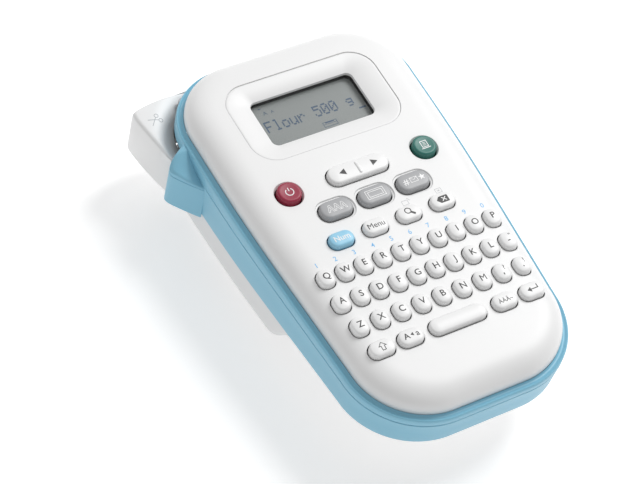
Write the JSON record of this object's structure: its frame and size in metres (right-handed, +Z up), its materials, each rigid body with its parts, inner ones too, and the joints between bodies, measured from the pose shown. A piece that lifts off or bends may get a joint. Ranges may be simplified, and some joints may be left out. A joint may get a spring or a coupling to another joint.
{
  "type": "label maker",
  "caption": "Hand-held label maker with a letter keyboard, display, corner cutter lever, tape cassette and battery hump under a lift-off back cover.",
  "frame": {"origin": "bottom centre of the whole box, on the surface it rests on", "axes": "+Y away from the user towards the display, +X to the right across the keyboard, +Z up"},
  "size_m": [0.1248, 0.1988, 0.0592],
  "materials": {
    "white_abs": "fine satin moulding",
    "blue_abs": "satin moulding",
    "sky_key": "satin",
    "grey_key": "satin",
    "red_key": "satin",
    "green_key": "satin",
    "black_plastic": "matte",
    "clear_lens": "polished",
    "lcd_glass": "semi-gloss",
    "silicone": "matte",
    "circuit_board": "solder mask",
    "steel": "plain",
    "brass": "plain",
    "battery_jacket": "glossy sleeve",
    "label_tape": "glossy film"
  },
  "bodies": {
    "housing": {"front_shell": "white_abs", "display_bezel": "white_abs", "accent_band": "blue_abs", "rear_housing": "blue_abs", "cassette_case": "grey_key", "cassette_lid": "grey_key", "chassis": "black_plastic", "blade_guide": "black_plastic", "print_head": "black_plastic", "display_window": "clear_lens", "lcd_module": "lcd_glass", "keypad_membrane": "silicone", "circuit_board": "circuit_board", "lever_pin": "steel", "idler_post": "steel", "drive_motor": "steel", "heat_sink": "steel", "battery_contact_front": "steel", "battery_contact_back": "steel", "case_screw_1": "steel", "case_screw_2": "steel", "case_screw_3": "steel", "case_screw_4": "steel", "lcd_flex": "brass", "battery_1": "battery_jacket", "battery_2": "battery_jacket", "battery_3": "battery_jacket", "battery_4": "battery_jacket", "battery_5": "battery_jacket", "battery_6": "battery_jacket", "label_tape": "label_tape"},
    "cover": {"back_cover": "white_abs"},
    "lever": {"cutter_lever": "white_abs"},
    "blade": {"cutter_blade": "steel"},
    "platen": {"platen_roller": "silicone", "platen_gear": "white_abs", "platen_shaft": "steel"},
    "idler": {"idler_gear": "white_abs"},
    "pinion": {"motor_pinion": "brass"},
    "label_reel": {"label_spool": "label_tape"},
    "ribbon_reel": {"ribbon_spool": "black_plastic"},
    "rocker": {"arrow_rocker": "white_abs"},
    "power_button": {"power_button": "red_key"},
    "print_button": {"print_button": "green_key"},
    "font_key": {"font_key": "grey_key"},
    "frame_key": {"frame_key": "grey_key"},
    "symbol_key": {"symbol_key": "grey_key"},
    "num_key": {"num_key": "sky_key"},
    "menu_key": {"menu_key": "white_abs"},
    "search_key": {"search_key": "white_abs"},
    "delete_key": {"delete_key": "white_abs"},
    "shift_key": {"shift_key": "white_abs"},
    "case_key": {"case_key": "white_abs"},
    "space_key": {"space_key": "white_abs"},
    "accent_key": {"accent_key": "white_abs"},
    "enter_key": {"enter_key": "white_abs"},
    "letter_row_1": {"letter_row_1": "white_abs"},
    "letter_row_2": {"letter_row_2": "white_abs"},
    "letter_row_3": {"letter_row_3": "white_abs"}
  },
  "joints": [
    {"name": "power_button_press", "type": "slide", "parent": "housing", "child": "power_button", "axis": [0, 0.0584, -0.9983], "range_m": [0, 0.0012], "stiffness_N_per_m": 900, "springref_m": -0.0001},
    {"name": "print_button_press", "type": "slide", "parent": "housing", "child": "print_button", "axis": [0, 0.0584, -0.9983], "range_m": [0, 0.0012], "stiffness_N_per_m": 900, "springref_m": -0.0001},
    {"name": "font_key_press", "type": "slide", "parent": "housing", "child": "font_key", "axis": [0, 0.0584, -0.9983], "range_m": [0, 0.0012], "stiffness_N_per_m": 900, "springref_m": -0.0001},
    {"name": "frame_key_press", "type": "slide", "parent": "housing", "child": "frame_key", "axis": [0, 0.0584, -0.9983], "range_m": [0, 0.0012], "stiffness_N_per_m": 900, "springref_m": -0.0001},
    {"name": "symbol_key_press", "type": "slide", "parent": "housing", "child": "symbol_key", "axis": [0, 0.0584, -0.9983], "range_m": [0, 0.0012], "stiffness_N_per_m": 900, "springref_m": -0.0001},
    {"name": "num_key_press", "type": "slide", "parent": "housing", "child": "num_key", "axis": [0, 0.0584, -0.9983], "range_m": [0, 0.0012], "stiffness_N_per_m": 900, "springref_m": -0.0001},
    {"name": "menu_key_press", "type": "slide", "parent": "housing", "child": "menu_key", "axis": [0, 0.0584, -0.9983], "range_m": [0, 0.0012], "stiffness_N_per_m": 900, "springref_m": -0.0001},
    {"name": "search_key_press", "type": "slide", "parent": "housing", "child": "search_key", "axis": [0, 0.0584, -0.9983], "range_m": [0, 0.0012], "stiffness_N_per_m": 900, "springref_m": -0.0001},
    {"name": "delete_key_press", "type": "slide", "parent": "housing", "child": "delete_key", "axis": [0, 0.0584, -0.9983], "range_m": [0, 0.0012], "stiffness_N_per_m": 900, "springref_m": -0.0001},
    {"name": "shift_key_press", "type": "slide", "parent": "housing", "child": "shift_key", "axis": [0, 0.0584, -0.9983], "range_m": [0, 0.0012], "stiffness_N_per_m": 900, "springref_m": -0.0001},
    {"name": "case_key_press", "type": "slide", "parent": "housing", "child": "case_key", "axis": [0, 0.0584, -0.9983], "range_m": [0, 0.0012], "stiffness_N_per_m": 900, "springref_m": -0.0001},
    {"name": "space_key_press", "type": "slide", "parent": "housing", "child": "space_key", "axis": [0, 0.0584, -0.9983], "range_m": [0, 0.0012], "stiffness_N_per_m": 900, "springref_m": -0.0001},
    {"name": "accent_key_press", "type": "slide", "parent": "housing", "child": "accent_key", "axis": [0, 0.0584, -0.9983], "range_m": [0, 0.0012], "stiffness_N_per_m": 900, "springref_m": -0.0001},
    {"name": "enter_key_press", "type": "slide", "parent": "housing", "child": "enter_key", "axis": [0, 0.0584, -0.9983], "range_m": [0, 0.0012], "stiffness_N_per_m": 900, "springref_m": -0.0001},
    {"name": "letter_row_1_press", "type": "slide", "parent": "housing", "child": "letter_row_1", "axis": [0, 0.0584, -0.9983], "range_m": [0, 0.0012], "stiffness_N_per_m": 2500, "springref_m": -0.0001},
    {"name": "letter_row_2_press", "type": "slide", "parent": "housing", "child": "letter_row_2", "axis": [0, 0.0584, -0.9983], "range_m": [0, 0.0012], "stiffness_N_per_m": 2500, "springref_m": -0.0001},
    {"name": "letter_row_3_press", "type": "slide", "parent": "housing", "child": "letter_row_3", "axis": [0, 0.0584, -0.9983], "range_m": [0, 0.0012], "stiffness_N_per_m": 2500, "springref_m": -0.0001},
    {"name": "rocker_tilt", "type": "hinge", "parent": "housing", "child": "rocker", "pos_m": [0.00485, 0.01802, 0.05418], "axis": [0, 0.9983, 0.0584], "range_deg": [-2.5, 2.5], "stiffness_Nm_per_rad": 0.4},
    {"name": "lever_press", "type": "hinge", "parent": "housing", "child": "lever", "pos_m": [-0.03914, 0.09251, 0.03089], "axis": [0, -0.0584, 0.9983], "range_deg": [0, 8], "stiffness_Nm_per_rad": 1.5, "springref_deg": -2.86},
    {"name": "blade_cut", "type": "slide", "parent": "housing", "child": "blade", "axis": [0, -0.9983, -0.0584], "range_m": [0, 0.003]},
    {"name": "platen_spin", "type": "hinge", "parent": "housing", "child": "platen", "pos_m": [-0.02615, 0.06127, 0.03067], "axis": [0, -0.0584, 0.9983], "continuous": true},
    {"name": "idler_spin", "type": "hinge", "parent": "housing", "child": "idler", "pos_m": [-0.03031, 0.04574, 0.02976], "axis": [0, -0.0584, 0.9983], "continuous": true},
    {"name": "pinion_spin", "type": "hinge", "parent": "housing", "child": "pinion", "pos_m": [-0.03344, 0.03407, 0.02907], "axis": [0, -0.0584, 0.9983], "continuous": true},
    {"name": "label_reel_spin", "type": "hinge", "parent": "housing", "child": "label_reel", "pos_m": [0.01735, 0.05547, 0.03033], "axis": [0, -0.0584, 0.9983], "continuous": true},
    {"name": "ribbon_reel_spin", "type": "hinge", "parent": "housing", "child": "ribbon_reel", "pos_m": [-0.00764, 0.0415, 0.02951], "axis": [0, -0.0584, 0.9983], "continuous": true},
    {"name": "cover_off", "type": "slide", "parent": "housing", "child": "cover", "axis": [0, 0, -1], "range_m": [0, 0.06]}
  ],
  "couplings": [
    {"joint": "blade_cut", "follows": "lever_press", "m_per_rad": 0.0214},
    {"joint": "idler_spin", "follows": "platen_spin", "ratio": -1},
    {"joint": "pinion_spin", "follows": "platen_spin", "ratio": 2},
    {"joint": "label_reel_spin", "follows": "platen_spin", "ratio": 0.24},
    {"joint": "ribbon_reel_spin", "follows": "platen_spin", "ratio": 0.646}
  ]
}
